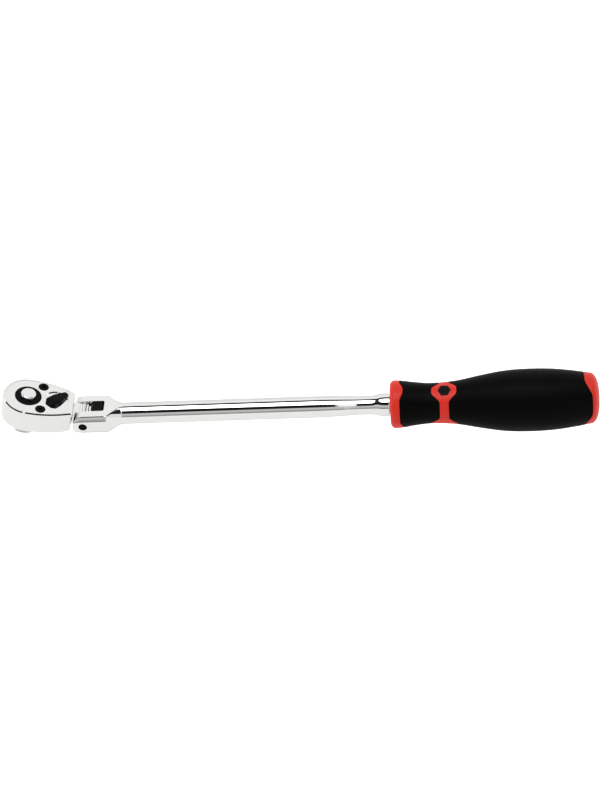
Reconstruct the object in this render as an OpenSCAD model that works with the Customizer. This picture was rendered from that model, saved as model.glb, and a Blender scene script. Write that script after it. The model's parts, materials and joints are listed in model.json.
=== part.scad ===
// Flex-head quick-release ratchet with a 3/8 inch square drive and a comfort handle.
// The origin is the centre of the square drive's shoulder, under the head.
// +X runs along the shaft to the handle, +Y is the flex hinge, +Z is the selector side.

/* [Head] */
// Thickness of the ratchet head
head_t = 14.4; // [13.8:0.1:14.8]
// Radius of the round end of the head
head_r = 14.1; // [13.9:0.1:14.5]
// Distance from the drive axis to the flex hinge
hinge_u = 32.8; // [32.4:0.2:34]
// Drop of the tang below the head's mid plane
tang_drop = 0.5; // [0:0.1:0.8]
// Tilt of the head on the shaft as stored, a whole number of index teeth
head_tilt = 15; // [0:15:45]

/* [Ratchet] */
// Side of the square drive, three eighths of an inch
drive_side = 9.525; // [9.4:0.025:9.6]
// Length of the square drive below the head
drive_len = 10.6; // [9.6:0.2:12]
// Number of gear teeth, in steps that keep the quarter turns in mesh
gear_teeth = 72; // [72:12:72]
// Tip radius of the gear
gear_tip = 9.4; // [9.3:0.05:9.5]
// Distance from the drive axis to the selector's axis
selector_u = 15.7; // [15.5:0.1:16]
// Angle of the selector's finger to either side of the head's centre line
selector_swing = 47; // [42:1:60]
// Rocking angle of the pawl to either side
pawl_rock = 2.8; // [2.6:0.1:3]
// Travel of the release button
button_travel = 2; // [1.6:0.1:2.2]

/* [Yoke and shaft] */
// Width of the yoke across its two ears
yoke_w = 21; // [20:0.5:23]
// Thickness of the yoke
yoke_t = 12.6; // [12:0.2:13]
// Width of the yoke's slot
slot_w = 8.3; // [8.1:0.1:9]
// Radius of the flex hinge's pin
pin_r = 2.4; // [2:0.1:2.6]
// Radius of the shaft along its straight stretch
shaft_r = 6.2; // [5.8:0.1:6.3]
// Radius of the shaft at its slim neck in front of the handle
neck_r = 5.4; // [5.2:0.1:5.8]

/* [Handle] */
// Distance from the flex hinge to the front of the handle
handle_x = 173; // [168:1:200]
// Length of the handle
handle_len = 117; // [112:1:122]
// Greatest radius of the handle
handle_r = 17.6; // [16.6:0.2:18.6]
// Thickness of the soft grip sleeves
grip_t = 1.6; // [1.2:0.2:2]

/* [Hidden] */
$fn = 96;
small_fn = 32;
eps = 0.01;

// Running clearances: round fits, flat sides and the gear's mesh
run_gap = 0.06;
side_gap = 0.1;
mesh_gap = 0.06;

// Heights inside the head, from its mid plane
floor_z = -4.3;
plate_z = 4.5;
plate_top = head_t / 2 - 0.1;
gear_low = floor_z + 0.2;
gear_high = plate_z - 0.2;
ring_z = 5.4;

// Head outline
tang_half = slot_w / 2 - side_gap;
head_end = hinge_u - 6.6;
head_draw = 5.4;
rim_w = 1.5;
plate_end = 22.5;
neck_half = 4.4;
disc_r = 6;
index_teeth = 24;
index_depth = 0.55;

// Ratchet
tooth_h = 0.65;
cavity_r = gear_tip + 0.4;
journal_r = 7;
top_journal_r = 7.5;
shaft_sel_r = 2.6;
pawl_in = 26;
pawl_out = 39;
pawl_r = 11.4;
pawl_hub = 5;
plunger_r = 1.1;
plunger_reach = 4;
plunger_z = 0.1;
pocket_r = 6.9;
screw_at = [7.75, 9.06];
screw_r = 1.2;
screw_head_r = 2.9;
screw_z = -1.5;
socket_r = 1.25;

// Release button and detent ball
button_r = 4.25;
button_top = head_t / 2 + 2.2;
collar_r = 5;
collar_z = [3.8, ring_z - side_gap];
stem_r = 2.1;
ball_r = 1.6;
ball_out = 0.6;
ball_z = -head_t / 2 - drive_len * 0.58;
ball_slope = 0.35;
spring_floor = -1.5;

// Flex lock, measured from the hinge
lock_x = [5.3, 11];
lock_half_z = 5.8;
lock_tail_r = 2.3;
lock_tail_end = 19;
lock_bore_end = 28;
slot_end = 12.1;
slot_corner = 1.3;
chamfer = 2.44;
shoulder_x = 12.8;
taper_end = 22.5;

// Handle
core_bore = 5;
core_bore_end = handle_x + 90;
waist_r = 11.4;
dome_len = 5;
collar_len = 7;
band_at = 31.2;
band_half = 4;
emblem_r = 3.8;
emblem_turn = 10;

tang_z = head_t / 2 - tang_drop;
hinge_at = [hinge_u * cos(head_tilt) + tang_z * sin(head_tilt), 0,
    tang_z * cos(head_tilt) - hinge_u * sin(head_tilt)];

// Handle radius: stations along the handle and a smooth curve through them
handle_keys = [[0, 12.7], [3.9, 13.5], [15, 12.1], [24, waist_r], [37.4, 12.3],
    [50.8, 14.8], [64.2, 16.95], [77.7, handle_r], [91, 17.2], [102, 15.95],
    [handle_len - dome_len, 14.3]];

function key_slope(i) =
    let (last = len(handle_keys) - 1, a = max(i - 1, 0), b = min(i + 1, last))
    (handle_keys[b][1] - handle_keys[a][1]) / (handle_keys[b][0] - handle_keys[a][0]);

function key_before(x, i = 0) =
    i >= len(handle_keys) - 2 || handle_keys[i + 1][0] > x ? i : key_before(x, i + 1);

function hermite(t, p, q, m, n) =
    (2 * t ^ 3 - 3 * t ^ 2 + 1) * p + (t ^ 3 - 2 * t ^ 2 + t) * m
    + (3 * t ^ 2 - 2 * t ^ 3) * q + (t ^ 3 - t ^ 2) * n;

function handle_radius(x) =
    let (i = key_before(x), a = handle_keys[i], b = handle_keys[i + 1], run = b[0] - a[0])
    hermite((x - a[0]) / run, a[1], b[1], run * key_slope(i), run * key_slope(i + 1));

// Points of the handle's surface between two stations, as [radius, distance from the hinge]
function handle_curve(from, to, inset = 0, steps = 16) =
    [for (i = [0:steps]) let (x = from + (to - from) * i / steps)
        [handle_radius(x) - inset, handle_x + x]];

// Half width of the head at a distance from the drive axis, towards the hinge
function head_half(u) =
    let (t = u / head_end)
    head_r - head_draw * 1.2 * t ^ 3 / (t + 0.2);

// Toothed outline, with a tooth on the first axis
function toothed(teeth, tip, root) =
    [for (i = [0:2 * teeth - 1]) let (r = i % 2 == 0 ? tip : root, a = 180 * i / teeth)
        [r * cos(a), r * sin(a)]];

// Carries a piece from the head's own frame to the part's frame
module place_head() {
    rotate([0, head_tilt, 0])
        translate([0, 0, head_t / 2])
            children();
}

module place_hinge() {
    translate(hinge_at)
        children();
}

// Turns a profile of [radius, distance] points about the shaft's axis
module turned(points, fn = 96) {
    rotate([0, 90, 0])
        rotate_extrude($fn = fn)
            polygon(points);
}

module disc(r, z0, z1, fn = 96) {
    translate([0, 0, z0])
        cylinder(r = r, h = z1 - z0, $fn = fn);
}

// Rod along the hinge's axis
module cross_rod(r, len) {
    rotate([90, 0, 0])
        cylinder(r = r, h = len, center = true);
}

// Head outline inset by a margin, between two heights
module head_slab(inset, end, z0, z1) {
    steps = 22;
    upper = [for (i = [0:steps]) let (u = end * i / steps) [u, head_half(u) - inset]];
    lower = [for (i = [steps:-1:0]) [upper[i][0], -upper[i][1]]];
    disc(head_r - inset, z0, z1);
    translate([0, 0, z0])
        linear_extrude(z1 - z0)
            polygon(concat(upper, lower));
}

// Round wire coiled about +Z, from z0 to z1
module coil(r, wire, z0, z1, turns) {
    sides = 6;
    per_turn = 14;
    rings = round(turns * per_turn);
    rise = (z1 - z0 - 2 * wire) / rings;
    points = [for (i = [0:rings], k = [0:sides - 1])
        let (a = 360 * i / per_turn, b = 360 * k / sides, s = r + wire * cos(b))
        [s * cos(a), s * sin(a), z0 + wire + rise * i + wire * sin(b)]];
    walls = [for (i = [0:rings - 1], k = [0:sides - 1])
        let (n = (k + 1) % sides)
        [i * sides + k, i * sides + n, (i + 1) * sides + n, (i + 1) * sides + k]];
    start = [for (k = [sides - 1:-1:0]) k];
    finish = [for (k = [0:sides - 1]) rings * sides + k];
    polyhedron(points, concat(walls, [start, finish]), convexity = 8);
}

module ring_of_wire(r, wire, z) {
    translate([0, 0, z])
        rotate_extrude($fn = 96)
            translate([r, 0])
                circle(r = wire, $fn = 24);
}

// ---- Handle side -------------------------------------------------------

module yoke_prism() {
    half_w = yoke_w / 2;
    half_t = yoke_t / 2;
    section = [[half_w, chamfer - half_t], [half_w, half_t - chamfer],
        [half_w - chamfer, half_t], [chamfer - half_w, half_t],
        [-half_w, half_t - chamfer], [-half_w, chamfer - half_t],
        [chamfer - half_w, -half_t], [half_w - chamfer, -half_t]];
    rotate([90, 0, 90])
        linear_extrude(taper_end)
            polygon(section);
    intersection() {
        rotate([90, 0, 90])
            translate([0, 0, -half_t])
                linear_extrude(half_t + 2)
                    polygon(section);
        translate([0.4, 0, 0])
            cross_rod(half_t, yoke_w + 2);
    }
}

// Surface that trims the yoke's flat sides down to the round shaft
function taper_curve() =
    let (big = yoke_w / 2 + 1.2, steps = 10)
    [for (i = [0:steps]) let (t = i / steps)
        [shaft_r + (big - shaft_r) * (1 - t) ^ 1.6, shoulder_x + (taper_end - shoulder_x) * t]];

function shaft_curve() =
    [[shaft_r, 128], [shaft_r - 0.08, 136], [5.98, 142], [5.8, 147], [5.6, 151],
        [neck_r + 0.04, 155], [neck_r, 159], [neck_r, 162], [neck_r + 0.25, 164.5],
        [6.15, 167.5], [6.65, handle_x - 1.5], [6.7, handle_x]];

// Slot with two rounded inner corners
module slot_cutter() {
    straight = slot_end - slot_corner;
    middle = slot_w / 2 - slot_corner;
    translate([-8, -slot_w / 2, -yoke_t])
        cube([straight + 8, slot_w, 2 * yoke_t]);
    translate([-8, -middle, -yoke_t])
        cube([slot_end + 8, 2 * middle, 2 * yoke_t]);
    for (s = [-1, 1])
        translate([straight, s * middle, 0])
            disc(slot_corner, -yoke_t, yoke_t, small_fn);
}

module yoke_shaft() {
    color([0.86, 0.87, 0.88])
    place_hinge()
    difference() {
        union() {
            intersection() {
                yoke_prism();
                turned(concat([[0, -8], [13, -8], [13, shoulder_x - 1]], taper_curve(),
                    [[0, taper_end]]));
            }
            turned(concat([[0, 15], [shaft_r, 15]], shaft_curve(),
                [[core_bore, handle_x], [core_bore, core_bore_end], [0, core_bore_end]]));
        }
        slot_cutter();
        cross_rod(pin_r, yoke_w + 2);
        rotate([0, 90, 0])
            disc(lock_tail_r + run_gap, slot_end - 1, lock_bore_end);
    }
}

module hinge_pin() {
    color([0.07, 0.07, 0.08])
    place_hinge()
        cross_rod(pin_r, yoke_w - 1.8);
}

module flex_lock() {
    corner = 1.2;
    half_y = slot_w / 2 - side_gap;
    long = lock_x[1] - lock_x[0];
    color([0.07, 0.07, 0.08])
    place_hinge() {
        difference() {
            union() {
                translate([lock_x[0], -half_y, -lock_half_z])
                    cube([long - corner, 2 * half_y, 2 * lock_half_z]);
                translate([lock_x[0], corner - half_y, -lock_half_z])
                    cube([long, 2 * (half_y - corner), 2 * lock_half_z]);
                for (s = [-1, 1])
                    translate([lock_x[1] - corner, s * (half_y - corner), 0])
                        disc(corner, -lock_half_z, lock_half_z, small_fn);
            }
            rotate([90, 0, 0])
                linear_extrude(slot_w, center = true)
                    polygon(toothed(index_teeth, disc_r + 0.08, disc_r + 0.08 - index_depth));
        }
        rotate([0, 90, 0])
            disc(lock_tail_r, lock_x[1] - 0.5, lock_tail_end);
    }
}

module flex_lock_spring() {
    color([0.6, 0.6, 0.62])
    place_hinge()
        rotate([0, 90, 0])
            coil(1.7, 0.32, lock_tail_end, lock_bore_end, 5);
}

module handle_core() {
    dome_x = handle_len - dome_len;
    dome_r = handle_radius(dome_x);
    grips = [[collar_len, band_at - band_half], [band_at + band_half, dome_x]];
    outer = concat(
        handle_curve(0, grips[0][0], 0, 5),
        handle_curve(grips[0][0], grips[0][1], grip_t, 10),
        handle_curve(grips[1][0] - 2 * band_half, grips[1][0], 0, 4),
        handle_curve(grips[1][0], grips[1][1], grip_t, 24),
        [for (i = [0:8]) let (a = 90 * i / 8)
            [dome_r * cos(a) ^ 0.7, handle_x + dome_x + dome_len * sin(a)]]);
    color([0.86, 0.06, 0.07])
    place_hinge()
    difference() {
        turned(concat([[0, handle_x]], outer));
        rotate([0, 90, 0])
            disc(core_bore, handle_x - 1, core_bore_end);
        emblem_prism();
    }
}

module grip_sleeve(from, to, steps) {
    inner = handle_curve(from, to, grip_t, steps);
    outer = handle_curve(from, to, 0, steps);
    turned(concat(outer, [for (i = [steps:-1:0]) inner[i]]));
}

module grip_front() {
    color([0.04, 0.04, 0.045])
    place_hinge()
        grip_sleeve(collar_len, band_at - band_half, 10);
}

module grip_rear() {
    color([0.04, 0.04, 0.045])
    place_hinge()
        grip_sleeve(band_at + band_half, handle_len - dome_len, 24);
}

// Plain six-sided badge let into the band on the selector side
module emblem_prism() {
    rotate([emblem_turn, 0, 0])
        translate([handle_x + band_at, 0, handle_radius(band_at) - 0.6])
            cylinder(r = emblem_r, h = 0.8, $fn = 6);
}

module grip_emblem() {
    color([0.1, 0.1, 0.1])
    place_hinge()
        emblem_prism();
}

// ---- Head side ---------------------------------------------------------

// Room for the gear and the rocking pawl
module works_pocket() {
    reach = pawl_r + 0.55;
    spread = pawl_out + 3.5;
    sector = concat([[0, 0]],
        [for (i = [-8:8]) [reach * cos(spread * i / 8), reach * sin(spread * i / 8)]]);
    disc(cavity_r, floor_z, plate_z + eps);
    translate([selector_u, 0, 0])
        disc(pawl_hub + 0.25, floor_z, plate_z + eps);
    translate([0, 0, floor_z])
        linear_extrude(plate_z + eps - floor_z)
            polygon(sector);
}

module head_body() {
    color([0.88, 0.89, 0.9])
    place_head()
    difference() {
        union() {
            head_slab(0, head_end, -head_t / 2, head_t / 2);
            translate([head_end - 1, -tang_half, -neck_half - tang_drop])
                cube([hinge_u - head_end + 1, 2 * tang_half, 2 * neck_half]);
            translate([hinge_u, 0, -tang_drop])
                rotate([90, 0, 0])
                    linear_extrude(2 * tang_half, center = true)
                        polygon(toothed(index_teeth, disc_r, disc_r - index_depth));
        }
        head_slab(rim_w, plate_end, plate_z, head_t);
        works_pocket();
        disc(journal_r + run_gap, -head_t, 0);
        disc(8.3, floor_z - 1.1, 0);
        translate([selector_u, 0, 0])
            disc(shaft_sel_r + run_gap, floor_z - 1, 0);
        for (s = [-1, 1])
            translate([screw_at[0], s * screw_at[1], 0])
                disc(screw_r, screw_z, head_t, small_fn);
        translate([hinge_u, 0, -tang_drop])
            cross_rod(pin_r + run_gap, 3 * tang_half);
    }
}

module cover_plate() {
    color([0.88, 0.89, 0.9])
    place_head()
    difference() {
        head_slab(rim_w + 0.1, plate_end - 0.1, plate_z, plate_top);
        disc(top_journal_r + run_gap, 0, head_t);
        translate([selector_u, 0, 0]) {
            disc(shaft_sel_r + side_gap, 0, head_t);
            disc(3.9, plate_z + 0.8, head_t, 64);
            disc(pocket_r, plate_top - 0.6, head_t);
        }
        for (s = [-1, 1])
            translate([screw_at[0], s * screw_at[1], 0]) {
                disc(screw_r, 0, head_t, small_fn);
                disc(screw_head_r, plate_top - 1.2, head_t, 48);
            }
    }
}

module cover_screws() {
    color([0.06, 0.06, 0.065])
    place_head()
    for (s = [-1, 1])
        translate([screw_at[0], s * screw_at[1], 0])
            difference() {
                union() {
                    disc(screw_r, screw_z, plate_top, small_fn);
                    disc(screw_head_r, plate_top - 1.2, plate_top, 48);
                }
                disc(socket_r, plate_top - 0.7, head_t, 6);
            }
}

module drive_seal() {
    color([0.05, 0.05, 0.05])
    place_head()
        ring_of_wire(7.62, 0.5, floor_z - 0.55);
}

module drive_gear() {
    under = -head_t / 2;
    tip = under - drive_len;
    half_diag = drive_side / 2 * sqrt(2) * 0.96;
    color([0.78, 0.79, 0.8])
    place_head()
    difference() {
        union() {
            translate([0, 0, gear_low])
                linear_extrude(gear_high - gear_low)
                    polygon(toothed(gear_teeth, gear_tip, gear_tip - tooth_h));
            disc(journal_r, under, gear_low + 1);
            disc(top_journal_r, gear_high - 1, ring_z);
            intersection() {
                translate([-drive_side / 2, -drive_side / 2, tip])
                    cube([drive_side, drive_side, drive_len + 1]);
                rotate_extrude()
                    polygon([[0, tip], [half_diag - 1.6, tip], [half_diag, tip + 1.2],
                        [half_diag, under + 1], [0, under + 1]]);
            }
        }
        disc(collar_r + side_gap, spring_floor, head_t);
        disc(stem_r + run_gap, ball_z - 3.2, 0, 48);
        translate([0, 0, ball_z])
            rotate([90, 0, 0])
                cylinder(r = ball_r + run_gap, h = drive_side, $fn = 48);
    }
}

module hub_ring() {
    color([0.03, 0.03, 0.035])
    place_head()
        difference() {
            disc(top_journal_r, ring_z, head_t / 2 + 0.2);
            disc(button_r + side_gap, 0, head_t);
        }
}

module release_button() {
    lip = 0.8;
    waist_r = stem_r - ball_slope * (button_travel + 0.4);
    waist_z = ball_z - 0.2 + button_travel + 0.4;
    end_z = ball_z - 0.9;
    color([0.9, 0.9, 0.91])
    place_head()
        rotate_extrude()
            polygon(concat(
                [[0, end_z], [stem_r, end_z], [stem_r, ball_z - 0.2], [waist_r, waist_z],
                    [waist_r, waist_z + 1.6], [stem_r, waist_z + 2.4], [stem_r, collar_z[0]],
                    [collar_r, collar_z[0]], [collar_r, collar_z[1]], [button_r, collar_z[1]]],
                [for (i = [0:6]) let (a = 90 * i / 6)
                    [button_r - lip + lip * cos(a), button_top - lip + lip * sin(a)]],
                [[0, button_top]]));
}

module button_spring() {
    color([0.6, 0.6, 0.62])
    place_head()
        coil(3.6, 0.4, spring_floor, collar_z[0], 4);
}

module detent_ball() {
    color([0.8, 0.8, 0.82])
    place_head()
        translate([0, -(drive_side / 2 + ball_out - ball_r), ball_z])
            sphere(r = ball_r, $fn = 48);
}

// Pawl in its middle position, in the head's own frame
module pawl_blank() {
    sector = concat([[0, 0]],
        [for (i = [-8:8]) [pawl_r * cos(pawl_out * i / 8), pawl_r * sin(pawl_out * i / 8)]]);
    translate([selector_u, 0, 0])
        disc(pawl_hub, gear_low, gear_high);
    translate([0, 0, gear_low])
        linear_extrude(gear_high - gear_low)
            polygon(sector);
}

module about_selector(angle) {
    translate([selector_u, 0, 0])
        rotate([0, 0, angle])
            translate([-selector_u, 0, 0])
                children();
}

module pawl() {
    relief = gear_tip + 0.15;
    window = plunger_reach + 0.15;
    spread = selector_swing + 28;
    color([0.5, 0.5, 0.52])
    place_head()
    about_selector(-pawl_rock)
    difference() {
        pawl_blank();
        for (s = [-1, 1])
            about_selector(s * pawl_rock) {
                translate([0, 0, gear_low - 1])
                    linear_extrude(gear_high - gear_low + 2)
                        polygon(toothed(gear_teeth, gear_tip + mesh_gap,
                            gear_tip - tooth_h + mesh_gap));
                intersection() {
                    disc(relief, gear_low - 1, gear_high + 1);
                    translate([0, 0, gear_low - 1])
                        linear_extrude(gear_high - gear_low + 2)
                            polygon([[0, 0], [20, 20 * tan(pawl_in)], [20, -20 * tan(pawl_in)]]);
                }
            }
        translate([selector_u, 0, 0]) {
            disc(shaft_sel_r + run_gap, gear_low - 1, gear_high + 1, 64);
            intersection() {
                disc(window, plunger_z - plunger_r - 0.3, plunger_z + plunger_r + 0.3);
                translate([0, 0, gear_low])
                    linear_extrude(gear_high - gear_low)
                        polygon([[0, 0], [9 * cos(180 - spread), 9 * sin(180 - spread)],
                            [-9, 9], [-9, -9],
                            [9 * cos(180 + spread), 9 * sin(180 + spread)]]);
            }
        }
    }
}

// Selector axis with +X along the finger
module place_selector() {
    place_head()
        translate([selector_u, 0, 0])
            rotate([0, 0, selector_swing])
                children();
}

// Wedge with a wide tail for the thumb and a narrow finger
lever_outline = [[-6, 0], [-5.7, 2], [-5.1, 2.9], [-4.2, 3.4], [-2.8, 3.4], [0.8, 3.3], [4.2, 2.5],
    [8.1, 1.4], [8.4, 0], [8.1, -1.4], [4.2, -2.5], [0.8, -3.3], [-2.8, -3.4], [-4.2, -3.4],
    [-5.1, -2.9], [-5.7, -2]];

module selector_lever() {
    low = plate_top - 0.5;
    over = head_t / 2 + 0.1;
    color([0.05, 0.05, 0.055])
    place_selector()
    difference() {
        union() {
            translate([0, 0, over])
                linear_extrude(1.7)
                    polygon(lever_outline);
            intersection() {
                disc(6.3, low, over + 1, 64);
                translate([0, 0, low])
                    linear_extrude(1.5)
                        polygon(lever_outline);
            }
            disc(shaft_sel_r, floor_z - 0.8, low, 64);
        }
        translate([0, 0, plunger_z])
            rotate([0, -90, 0])
                disc(plunger_r + run_gap, -1.9, shaft_sel_r + 1, 48);
    }
}

module selector_seal() {
    color([0.05, 0.05, 0.05])
    place_head()
        translate([selector_u, 0, 0])
            ring_of_wire(3.3, 0.38, plate_z + 1.25);
}

module selector_plunger() {
    tip = plunger_reach - plunger_r;
    color([0.7, 0.7, 0.72])
    place_selector()
        translate([0, 0, plunger_z])
            rotate([0, -90, 0])
                rotate_extrude($fn = 48)
                    polygon(concat([[0, 1.2], [plunger_r, 1.2]],
                        [for (i = [0:8]) let (a = 90 * i / 8)
                            [plunger_r * cos(a), tip + plunger_r * sin(a)]]));
}

module selector_spring() {
    color([0.6, 0.6, 0.62])
    place_selector()
        translate([0, 0, plunger_z])
            rotate([0, -90, 0])
                coil(0.75, 0.2, -1.9, 1.2, 4);
}

yoke_shaft();
hinge_pin();
flex_lock();
flex_lock_spring();
handle_core();
grip_front();
grip_rear();
grip_emblem();
head_body();
cover_plate();
cover_screws();
drive_seal();
drive_gear();
hub_ring();
release_button();
button_spring();
detent_ball();
pawl();
selector_lever();
selector_seal();
selector_plunger();
selector_spring();
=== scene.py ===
# %% [markdown]
# # A flex-head ratchet in Blender
# This lesson dresses a finished mechanical model of a ratchet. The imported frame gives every
# part, where it sits and what it moves with. We build finer meshes for the parts that show,
# give every part a finish made of nodes, and set up a small white studio.

# %% Load the frame
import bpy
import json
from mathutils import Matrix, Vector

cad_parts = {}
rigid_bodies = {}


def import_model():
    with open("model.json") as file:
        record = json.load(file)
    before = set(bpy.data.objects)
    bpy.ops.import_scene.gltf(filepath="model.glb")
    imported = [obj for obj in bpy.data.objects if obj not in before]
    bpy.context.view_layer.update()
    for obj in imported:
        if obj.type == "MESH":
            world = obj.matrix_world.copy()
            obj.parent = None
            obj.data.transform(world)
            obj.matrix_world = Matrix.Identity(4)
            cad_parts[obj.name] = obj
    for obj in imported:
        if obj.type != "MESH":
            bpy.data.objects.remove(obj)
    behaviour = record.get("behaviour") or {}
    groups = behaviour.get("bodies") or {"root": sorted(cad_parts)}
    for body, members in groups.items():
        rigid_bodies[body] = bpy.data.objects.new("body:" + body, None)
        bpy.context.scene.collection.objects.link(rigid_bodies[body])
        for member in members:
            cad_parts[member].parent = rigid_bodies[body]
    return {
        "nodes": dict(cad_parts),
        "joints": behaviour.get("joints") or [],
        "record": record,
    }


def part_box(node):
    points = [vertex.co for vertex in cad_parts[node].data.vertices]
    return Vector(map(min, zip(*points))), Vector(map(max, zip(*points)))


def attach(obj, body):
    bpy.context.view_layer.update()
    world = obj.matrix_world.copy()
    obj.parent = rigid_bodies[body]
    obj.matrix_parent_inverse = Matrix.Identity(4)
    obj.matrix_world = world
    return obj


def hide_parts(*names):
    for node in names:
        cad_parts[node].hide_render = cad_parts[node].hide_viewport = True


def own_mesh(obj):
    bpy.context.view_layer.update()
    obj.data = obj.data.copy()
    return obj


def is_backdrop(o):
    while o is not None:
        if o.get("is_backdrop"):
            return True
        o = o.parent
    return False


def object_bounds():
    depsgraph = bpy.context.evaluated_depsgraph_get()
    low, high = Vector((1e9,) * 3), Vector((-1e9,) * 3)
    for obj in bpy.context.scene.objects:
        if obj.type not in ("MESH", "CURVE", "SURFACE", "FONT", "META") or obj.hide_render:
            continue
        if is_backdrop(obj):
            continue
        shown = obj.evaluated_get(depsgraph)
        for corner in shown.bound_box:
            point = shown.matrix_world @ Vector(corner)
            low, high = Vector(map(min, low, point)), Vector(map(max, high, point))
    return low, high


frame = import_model()
cad_low, cad_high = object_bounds()
print("frame box:", [round(v, 4) for v in (*cad_low, *cad_high)])

# %% Tools for meshes and sums
import json
import math
import bmesh
import bpy
from mathutils import Matrix, Vector
MM = 0.001
scene = bpy.context.scene

# %% [markdown]
# The tool has two working frames. The hinge frame sits on the flex pin, with X along the
# shaft. The head frame sits on the drive's axis, half way up the head, with X towards the
# hinge and Z out of the selector side. We read both from the frame, so that every piece goes
# where the mechanical model says, and we draw in millimetres.

# %% Read the two working frames
joints = {joint["name"]: joint for joint in frame["joints"]}
head_up = Vector(joints["drive_spin"]["axis"]).normalized()
head_along = Vector((0, 1, 0)).cross(head_up)
body_heights = [v.co.dot(head_up) for v in frame["nodes"]["head_body"].data.vertices]
HEAD_HALF = (max(body_heights) - min(body_heights)) / 2 / MM
head_centre = head_up * (max(body_heights) + min(body_heights)) / 2
HEAD = Matrix.Translation(head_centre) @ Matrix(
    (head_along, (0, 1, 0), head_up)).transposed().to_4x4() @ Matrix.Scale(MM, 4)
print("half thickness of the head in mm:", round(HEAD_HALF, 3))

# %% Find the flex hinge
pin_low, pin_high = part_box("hinge_pin")
hinge_centre = (Vector(pin_low) + Vector(pin_high)) / 2
HINGE = Matrix.Translation(hinge_centre) @ Matrix.Scale(MM, 4)
HINGE_REACH = (hinge_centre - head_centre).dot(head_along) / MM
TANG_DROP = (head_centre - hinge_centre).dot(head_up) / MM
print("drive axis to hinge in mm:", round(HINGE_REACH, 2), "and down by", round(TANG_DROP, 2))

# %% [markdown]
# The camera comes first, because every later choice is judged through it. It stands in front
# of the tool and above it, with a long lens and a slight roll, so the shaft climbs gently to
# the right. Its place is given from the hinge.

# %% Set up the camera
CAMERA_OFFSET = Vector((210.59, -933.99, 879.39)) * MM
AIM_OFFSET = Vector((122.66, 2.85, 3.05)) * MM
CAMERA_ROLL = math.radians(-5.5526)
LENS = 102.78

def aimed(back, roll):
    """Turns a camera to look against the direction back, rolled about its own axis."""
    side = Vector((0, 0, 1)).cross(back).normalized()
    over = back.cross(side)
    right = side * math.cos(roll) + over * math.sin(roll)
    return Matrix((right, back.cross(right), back)).transposed().to_4x4()

camera = bpy.data.objects.new("camera", bpy.data.cameras.new("camera"))
camera.data.lens = LENS
camera.data.sensor_width = 36
camera.data.clip_start = 0.05
camera.data.clip_end = 20
camera_back = (CAMERA_OFFSET - AIM_OFFSET).normalized()
camera.matrix_world = Matrix.Translation(hinge_centre + CAMERA_OFFSET) @ aimed(camera_back, CAMERA_ROLL)
scene.collection.objects.link(camera)
scene.camera = camera
print("camera distance in mm:", round((CAMERA_OFFSET - AIM_OFFSET).length / MM))

# %% [markdown]
# Every finish is a small calculation. To keep it readable, one class wraps the output of a
# node, so that plain sums such as `1 - mask` add the Math nodes for us.

# %% A wire that can be used in sums
class Wire:
    """An output of a node, used in sums like a number."""

    def __init__(self, bench, socket):
        self.bench = bench
        self.socket = socket

    def sum(self, operation, *terms):
        names = dict(enumerate(terms))
        return self.bench.node("ShaderNodeMath", {"operation": operation}, names)

    def __add__(self, other):
        return self.sum("ADD", self, other)

    def __sub__(self, other):
        return self.sum("SUBTRACT", self, other)

    def __rsub__(self, other):
        return self.sum("SUBTRACT", other, self)

    def __mul__(self, other):
        return self.sum("MULTIPLY", self, other)

    __radd__ = __add__
    __rmul__ = __mul__

print("sums on wires: + - *")

# %% A bench that adds any node
class Bench:
    """A node tree, with one method that adds a node, sets it and wires it."""

    def __init__(self, tree):
        self.tree = tree
        tree.nodes.clear()

    def node(self, kind, settings=None, sockets=None, take=0):
        made = self.tree.nodes.new(kind)
        for name, value in (settings or {}).items():
            if name == "stops":
                self.set_stops(made.color_ramp, value)
            else:
                setattr(made, name, value)
        for name, value in (sockets or {}).items():
            if isinstance(value, Wire):
                self.tree.links.new(value.socket, made.inputs[name])
            else:
                made.inputs[name].default_value = value
        return Wire(self, made.outputs[take]) if made.outputs else made

    def set_stops(self, ramp, stops):
        while len(ramp.elements) < len(stops):
            ramp.elements.new(1)
        for element, (place, colour) in zip(ramp.elements, stops):
            element.position = place
            element.color = (*colour, 1)

    def blend(self, factor, first, second):
        """A colour between two colours."""
        return self.node("ShaderNodeMix", {"data_type": "RGBA"},
                         {0: factor, 6: colour(first), 7: colour(second)}, take=2)

    def ramp(self, value, low, high, to_low=0.0, to_high=1.0):
        """A smooth step of a value from one range to another."""
        return self.node("ShaderNodeMapRange", {"interpolation_type": "SMOOTHSTEP"},
                         {"Value": value, "From Min": low, "From Max": high,
                          "To Min": to_low, "To Max": to_high})

def colour(value):
    """Four numbers for a colour socket from three, and any wire as it is."""
    return value if isinstance(value, Wire) else (*value, 1)

print("one method adds any node, its settings first and its sockets next")

# %% [markdown]
# Polished chrome has no look of its own: it shows the room. So the room is drawn with care.
# A bright panel hangs overhead with a thin dark edge behind it, dark cards stand in front and
# to the right above a grey wall, and the wall behind is pale. The reflections read only the
# direction of a ray, so the room stays put while the camera moves. To the eye it is plain white.

# %% The directions of the room
world = bpy.data.worlds.new("studio")
scene.world = world
world.use_nodes = True
room = Bench(world.node_tree)
ray = room.node("ShaderNodeTexCoord")
parts = room.node("ShaderNodeSeparateXYZ", sockets={0: ray})
ray_x, ray_y, ray_z = (Wire(room, output) for output in parts.socket.node.outputs)
pitch = ray_y.sum("ARCTAN2", ray_z, 0 - ray_y) * (180 / math.pi)
height = ray_z.sum("ARCSINE", ray_z) * (180 / math.pi)
print("pitch runs from 0 in front over 90 overhead to 180 behind")

# %% Paint the walls and the panel
PANEL_LIGHT = 4.6
SIDE_LIGHT = 0.85

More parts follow.
